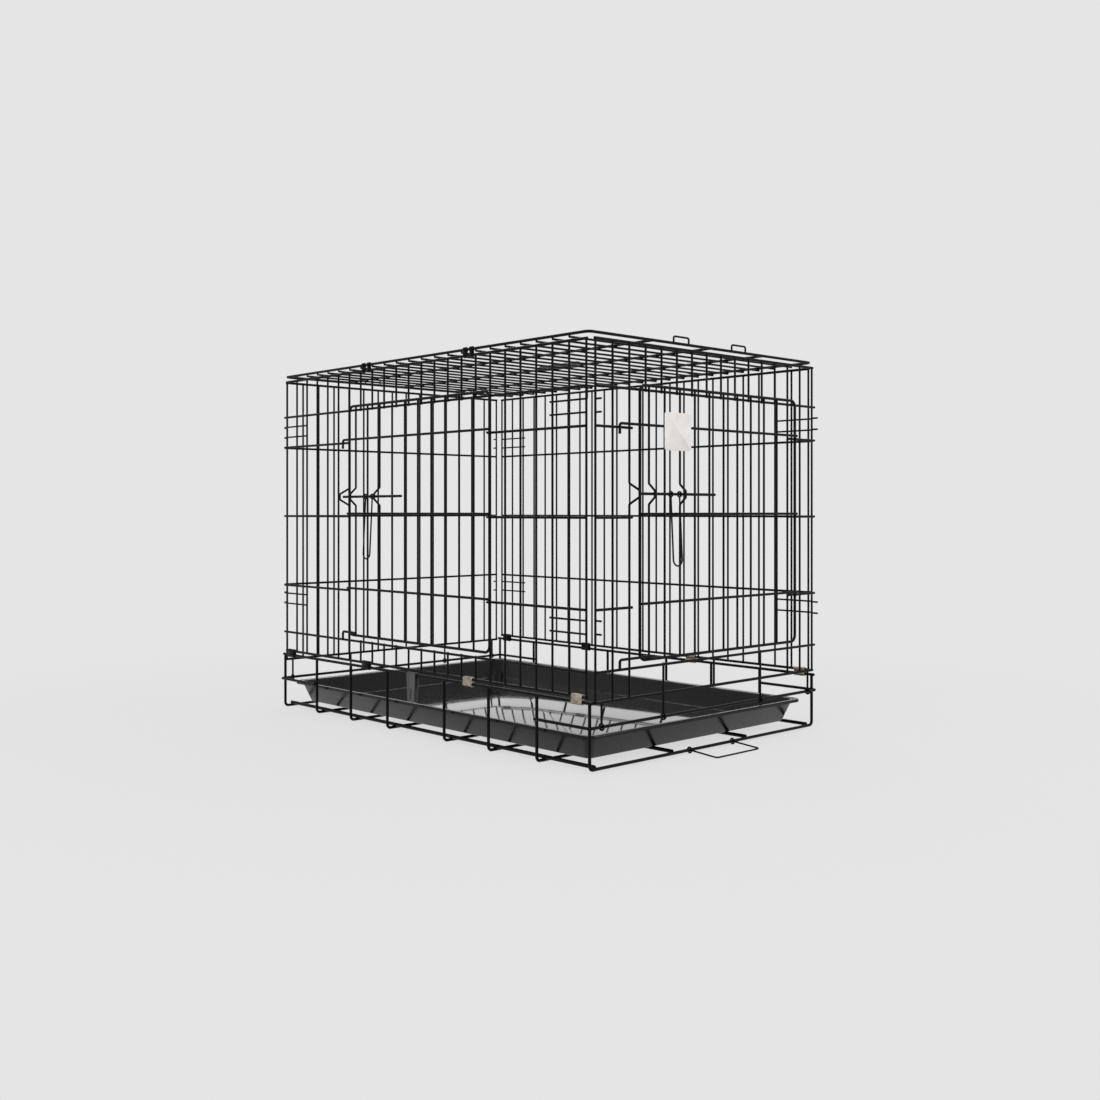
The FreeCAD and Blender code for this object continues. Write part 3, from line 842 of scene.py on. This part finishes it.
def pale_floor():
    """A round pale floor that fades into the surround and keeps a faint shadow."""
    radius = 1.6
    fade_from = 0.55
    fade_to = 0.9 * radius
    drop = 0.5 * MM
    # The share of what is seen of the floor that is its own even tone. The rest takes the shadow.
    even_share = 0.82
    bm = bmesh.new()
    bmesh.ops.create_circle(bm, cap_ends=True, segments=96, radius=radius)
    mesh = bpy.data.meshes.new("studio_floor")
    bm.to_mesh(mesh)
    bm.free()
    material, tree, place = start_material("studio_floor_paper")
    reach = add(tree, "ShaderNodeVectorMath", {0: place}, operation="LENGTH").outputs["Value"]
    fade = add(
        tree,
        "ShaderNodeMapRange",
        {"Value": reach, "From Min": fade_from, "From Max": fade_to, "To Min": 1.0, "To Max": 0.0},
        interpolation_type="SMOOTHSTEP",
    )
    paper = add(tree, "ShaderNodeBsdfDiffuse", {"Color": linear("#e8e8e8")})
    glow = add(tree, "ShaderNodeEmission", {"Color": PALE, "Strength": 1.0})
    even = add(tree, "ShaderNodeMath", {0: seen_directly(tree), 1: even_share}, operation="MULTIPLY")
    lit = add(
        tree,
        "ShaderNodeMixShader",
        {0: even.outputs[0], 1: paper.outputs["BSDF"], 2: glow.outputs["Emission"]},
    )
    clear = add(tree, "ShaderNodeBsdfTransparent")
    faded = add(
        tree,
        "ShaderNodeMixShader",
        {0: fade.outputs["Result"], 1: clear.outputs["BSDF"], 2: lit.outputs["Shader"]},
    )
    add(tree, "ShaderNodeOutputMaterial", {"Surface": faded.outputs["Shader"]})
    mesh.materials.append(material)
    floor = bpy.data.objects.new("studio_floor", mesh)
    floor.location.z = cad_box[0][2] - drop
    bpy.context.collection.objects.link(floor)


def soft_lamp(name, place, target, width, power):
    """A square softbox that faces a point."""
    lamp = bpy.data.lights.new(name, "AREA")
    lamp.size = width
    lamp.energy = power
    thing = bpy.data.objects.new(name, lamp)
    thing.location = place
    thing.rotation_euler = (Vector(target) - Vector(place)).to_track_quat("-Z", "Y").to_euler()
    bpy.context.collection.objects.link(thing)


def photo_camera():
    """A level camera off the near corner, as the photograph was taken."""
    # Fitted to the corners of the crate in the photograph: pixels of its square frame, and metres.
    frame_pixels = 1100
    focal_pixels = 1208.8
    principal = (551.1, 511.6)
    stand = (1.481, -1.3567, 0.3406)
    look = Vector((-0.7283, 0.6853, 0.0))
    camera = bpy.data.cameras.new("photo_camera")
    camera.sensor_width = 36.0
    camera.lens = camera.sensor_width * focal_pixels / frame_pixels
    camera.shift_x = (frame_pixels / 2 - principal[0]) / frame_pixels
    camera.shift_y = -(frame_pixels / 2 - principal[1]) / frame_pixels
    thing = bpy.data.objects.new("photo_camera", camera)
    thing.location = stand
    thing.rotation_euler = look.to_track_quat("-Z", "Y").to_euler()
    bpy.context.collection.objects.link(thing)
    bpy.context.scene.camera = thing


pale_world()
pale_floor()
crate_middle = (0.0, 0.0, 0.3)
soft_lamp("key_softbox", (1.2, -2.2, 2.2), crate_middle, width=1.8, power=34)
soft_lamp("rim_softbox", (-1.8, 1.6, 1.9), crate_middle, width=1.5, power=22)
soft_lamp("front_softbox", (2.4, 0.9, 1.2), crate_middle, width=1.4, power=16)
photo_camera()
bpy.context.scene.view_settings.view_transform = "Standard"
